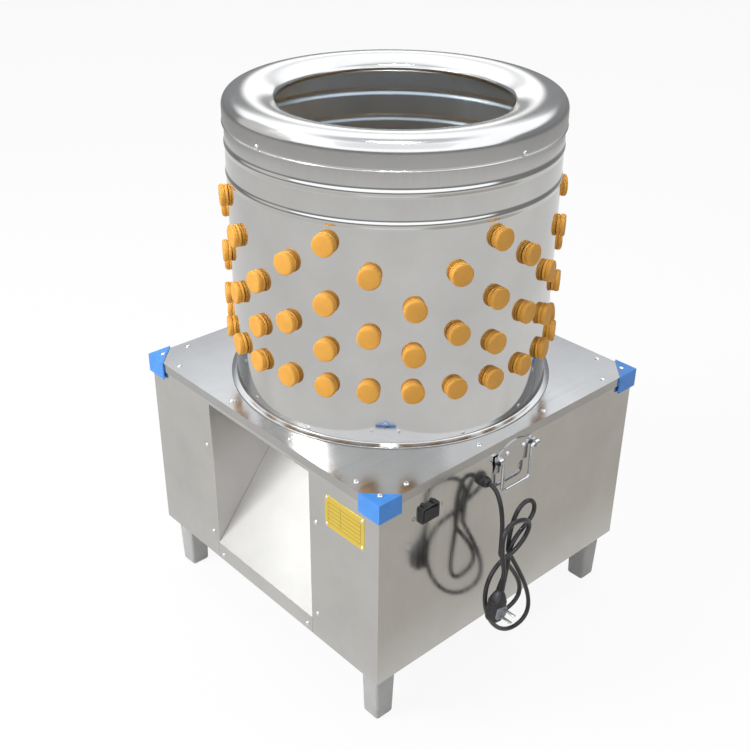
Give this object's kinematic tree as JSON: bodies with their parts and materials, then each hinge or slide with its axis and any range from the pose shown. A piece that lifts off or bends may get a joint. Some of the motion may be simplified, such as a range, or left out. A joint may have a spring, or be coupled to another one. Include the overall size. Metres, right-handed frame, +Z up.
{
  "type": "drum poultry plucker",
  "caption": "Drum plucker: a steel barrel lined with rubber fingers stands on a square cabinet with a feather chute; a belt-driven finger disc spins in the barrel's floor.",
  "frame": {"origin": "centre of the cabinet at floor level", "axes": "+Z up along the barrel's axis; the feather chute faces -Y; the switch, mains lead and one handle are on the +X side"},
  "size_m": [0.6911, 0.571, 0.8811],
  "materials": {
    "painted_frame": "satin",
    "top_steel": "polished",
    "panel_steel": "satin",
    "chute_steel": "satin",
    "barrel_steel": "polished",
    "rim_steel": "mirror polished",
    "finger_rubber": "satin",
    "leg_plastic": "matte",
    "guard_plastic": "gloss",
    "fastener_steel": "bright",
    "label_brass": "satin",
    "cast_housing": "cast",
    "bearing_steel": "ground",
    "disc_steel": "satin",
    "black_rubber": "matte",
    "motor_paint": "semi-gloss",
    "motor_aluminium": "cast",
    "rotor_steel": "turned",
    "fan_plastic": "matte",
    "switch_plastic": "satin",
    "handle_chrome": "bright",
    "cord_sheath": "satin",
    "pin_metal": "bright"
  },
  "bodies": {
    "cabinet_and_barrel": {"base_frame": "painted_frame", "bearing_bridge": "painted_frame", "motor_mount_plate": "painted_frame", "top_plate": "top_steel", "front_panel": "panel_steel", "right_panel": "panel_steel", "rear_panel": "panel_steel", "left_panel": "panel_steel", "chute_slope": "chute_steel", "chute_walls": "chute_steel", "barrel": "barrel_steel", "rim_cap": "rim_steel", "barrel_fingers_lower": "finger_rubber", "barrel_fingers_middle": "finger_rubber", "barrel_fingers_upper": "finger_rubber", "leg_front_left": "leg_plastic", "leg_front_right": "leg_plastic", "leg_rear_left": "leg_plastic", "leg_rear_right": "leg_plastic", "corner_guard_front_left": "guard_plastic", "corner_guard_front_right": "guard_plastic", "corner_guard_rear_left": "guard_plastic", "corner_guard_rear_right": "guard_plastic", "leg_bolts": "fastener_steel", "casing_screws": "fastener_steel", "rivets": "fastener_steel", "drive_bolts": "fastener_steel", "nameplate": "label_brass", "bearing_housing": "cast_housing", "bearing_outer_rings": "bearing_steel", "bearing_balls": "bearing_steel", "shaft_seal": "black_rubber", "drive_belt": "black_rubber", "motor_housing": "motor_paint", "motor_fan_cover": "motor_paint", "motor_end_bell": "motor_aluminium", "motor_terminal_box": "fan_plastic", "switch_bezel": "switch_plastic", "cable_gland": "switch_plastic", "handle_plates": "handle_chrome", "mains_cord": "cord_sheath", "cord_hank": "cord_sheath", "plug_body": "cord_sheath", "plug_pins": "pin_metal"},
    "plucking_rotor": {"drive_shaft": "bearing_steel", "bearing_inner_rings": "bearing_steel", "plucking_disc": "disc_steel", "disc_hub": "disc_steel", "hub_cap": "disc_steel", "disc_fingers": "finger_rubber", "sweeper_blades": "black_rubber", "driven_pulley": "cast_housing"},
    "motor_armature": {"motor_rotor": "rotor_steel", "motor_pulley": "cast_housing", "motor_fan": "fan_plastic"},
    "rocker": {"switch_rocker": "switch_plastic"},
    "right_bail": {"bail_right": "handle_chrome"},
    "left_bail": {"bail_left": "handle_chrome"}
  },
  "joints": [
    {"name": "disc_spin", "type": "hinge", "parent": "cabinet_and_barrel", "child": "plucking_rotor", "pos_m": [0, 0, 0.425], "axis": [0, 0, 1], "continuous": true},
    {"name": "motor_spin", "type": "hinge", "parent": "cabinet_and_barrel", "child": "motor_armature", "pos_m": [0, 0.182, 0.25], "axis": [0, 0, 1], "continuous": true},
    {"name": "rocker_tilt", "type": "hinge", "parent": "cabinet_and_barrel", "child": "rocker", "pos_m": [0.2845, -0.187, 0.369], "axis": [0, 0, 1], "range_deg": [0, 16]},
    {"name": "right_bail_lift", "type": "hinge", "parent": "cabinet_and_barrel", "child": "right_bail", "pos_m": [0.2901, -0.008, 0.395], "axis": [0, -1, 0], "range_deg": [-4, 90]},
    {"name": "left_bail_lift", "type": "hinge", "parent": "cabinet_and_barrel", "child": "left_bail", "pos_m": [-0.2901, -0.008, 0.395], "axis": [0, 1, 0], "range_deg": [-4, 90]}
  ],
  "couplings": [
    {"joint": "motor_spin", "follows": "disc_spin", "ratio": 4.9524}
  ]
}
